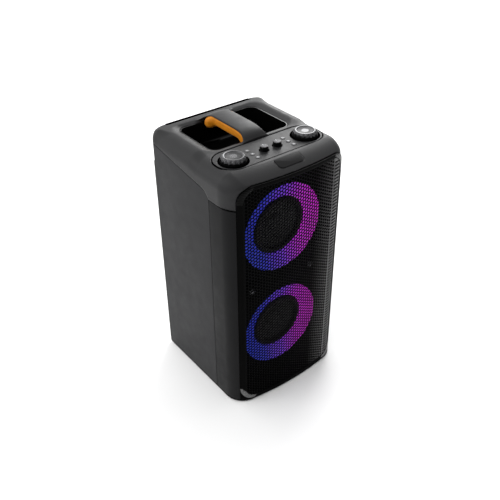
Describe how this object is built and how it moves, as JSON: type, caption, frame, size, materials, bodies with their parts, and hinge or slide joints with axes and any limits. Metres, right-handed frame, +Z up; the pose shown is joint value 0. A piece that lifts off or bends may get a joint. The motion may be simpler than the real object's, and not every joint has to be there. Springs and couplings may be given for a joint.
{
  "type": "party speaker",
  "caption": "Tall battery party speaker: lit woofers behind a bowed grille, carrying bar over a tub in the top, dials and buttons along the front of the top.",
  "frame": {"origin": "middle of the footprint on the ground, under the feet", "axes": "+Z up, the grille faces -Y, +X to the right seen from the front"},
  "size_m": [0.296, 0.3, 0.59],
  "materials": {
    "shell_grey": "moulded, fine satin grain",
    "panel_grey": "moulded, matte grain",
    "satin_black": "satin black",
    "gloss_black": "polished black",
    "grip_orange": "soft-touch orange",
    "smoked_clear": "smoked clear, fluted",
    "ring_violet": "light guide, blue on the left to violet on the right",
    "button_grey": "satin",
    "rubber": "moulded black rubber",
    "board_green": "solder mask",
    "battery_blue": "shrink wrap",
    "box_wood": "black-stained fibreboard",
    "paper_cone": "coated pulp",
    "grille_steel": "powder coat over perforated steel",
    "steel": "plated",
    "ferrite": "sintered",
    "dial_metal": "turned, dark anodised"
  },
  "bodies": {
    "cabinet": {"right_side_panel": "panel_grey", "left_side_panel": "panel_grey", "right_corner_column": "shell_grey", "left_corner_column": "shell_grey", "base_plate": "satin_black", "front_foot": "rubber", "rear_foot": "rubber", "cabinet_box": "box_wood", "cabinet_back": "box_wood", "top_shell": "shell_grey", "badge_plate": "satin_black", "handle_tub": "gloss_black", "handle_grip": "grip_orange", "grille_frame": "satin_black", "grille": "grille_steel", "front_baffle": "satin_black", "rear_cover": "satin_black", "bass_port_tube": "satin_black", "connection_plate": "satin_black", "power_inlet": "gloss_black", "usb_port": "steel", "microphone_jack": "gloss_black", "amplifier_board": "board_green", "power_supply": "steel", "battery_pack": "battery_blue", "control_panel": "panel_grey", "control_tray": "gloss_black", "control_board": "board_green", "left_tweeter": "satin_black", "right_tweeter": "satin_black", "lower_left_corner_window": "smoked_clear", "upper_left_corner_window": "smoked_clear", "left_dial_encoder": "steel", "left_trim_pot": "steel", "lower_right_corner_window": "smoked_clear", "upper_right_corner_window": "smoked_clear", "right_dial_encoder": "steel", "right_trim_pot": "steel", "lower_light_ring": "ring_violet", "lower_led_board": "board_green", "lower_woofer_basket": "steel", "lower_woofer_magnet": "ferrite", "lower_woofer_surround": "rubber", "upper_light_ring": "ring_violet", "upper_led_board": "board_green", "upper_woofer_basket": "steel", "upper_woofer_magnet": "ferrite", "upper_woofer_surround": "rubber"},
    "left_dial": {"left_dial": "dial_metal"},
    "right_dial": {"right_dial": "dial_metal"},
    "left_trim_knob": {"left_trim_knob": "gloss_black"},
    "right_trim_knob": {"right_trim_knob": "gloss_black"},
    "left_rear_button": {"left_rear_button": "button_grey"},
    "left_middle_button": {"left_middle_button": "button_grey"},
    "left_front_button": {"left_front_button": "button_grey"},
    "right_rear_button": {"right_rear_button": "button_grey"},
    "right_middle_button": {"right_middle_button": "button_grey"},
    "right_front_button": {"right_front_button": "button_grey"},
    "lower_cone": {"lower_woofer_cone": "paper_cone"},
    "upper_cone": {"upper_woofer_cone": "paper_cone"}
  },
  "joints": [
    {"name": "left_dial_turn", "type": "hinge", "parent": "cabinet", "child": "left_dial", "pos_m": [-0.09, -0.064, 0.576], "axis": [0, 0, 1], "continuous": true},
    {"name": "right_dial_turn", "type": "hinge", "parent": "cabinet", "child": "right_dial", "pos_m": [0.09, -0.064, 0.576], "axis": [0, 0, 1], "continuous": true},
    {"name": "left_trim_turn", "type": "hinge", "parent": "cabinet", "child": "left_trim_knob", "pos_m": [-0.0165, -0.065, 0.575], "axis": [0, 0, 1], "range_deg": [-150, 150]},
    {"name": "right_trim_turn", "type": "hinge", "parent": "cabinet", "child": "right_trim_knob", "pos_m": [0.0165, -0.065, 0.575], "axis": [0, 0, 1], "range_deg": [-150, 150]},
    {"name": "left_rear_button_press", "type": "slide", "parent": "cabinet", "child": "left_rear_button", "axis": [0, 0, -1], "range_m": [0, 0.001], "stiffness_N_per_m": 1500},
    {"name": "left_middle_button_press", "type": "slide", "parent": "cabinet", "child": "left_middle_button", "axis": [0, 0, -1], "range_m": [0, 0.001], "stiffness_N_per_m": 1500},
    {"name": "left_front_button_press", "type": "slide", "parent": "cabinet", "child": "left_front_button", "axis": [0, 0, -1], "range_m": [0, 0.001], "stiffness_N_per_m": 1500},
    {"name": "right_rear_button_press", "type": "slide", "parent": "cabinet", "child": "right_rear_button", "axis": [0, 0, -1], "range_m": [0, 0.001], "stiffness_N_per_m": 1500},
    {"name": "right_middle_button_press", "type": "slide", "parent": "cabinet", "child": "right_middle_button", "axis": [0, 0, -1], "range_m": [0, 0.001], "stiffness_N_per_m": 1500},
    {"name": "right_front_button_press", "type": "slide", "parent": "cabinet", "child": "right_front_button", "axis": [0, 0, -1], "range_m": [0, 0.001], "stiffness_N_per_m": 1500},
    {"name": "lower_cone_stroke", "type": "slide", "parent": "cabinet", "child": "lower_cone", "axis": [0, 1, 0], "range_m": [-0.004, 0.004], "stiffness_N_per_m": 1600, "deforming": ["lower_woofer_surround"]},
    {"name": "upper_cone_stroke", "type": "slide", "parent": "cabinet", "child": "upper_cone", "axis": [0, 1, 0], "range_m": [-0.004, 0.004], "stiffness_N_per_m": 1600, "deforming": ["upper_woofer_surround"]}
  ]
}
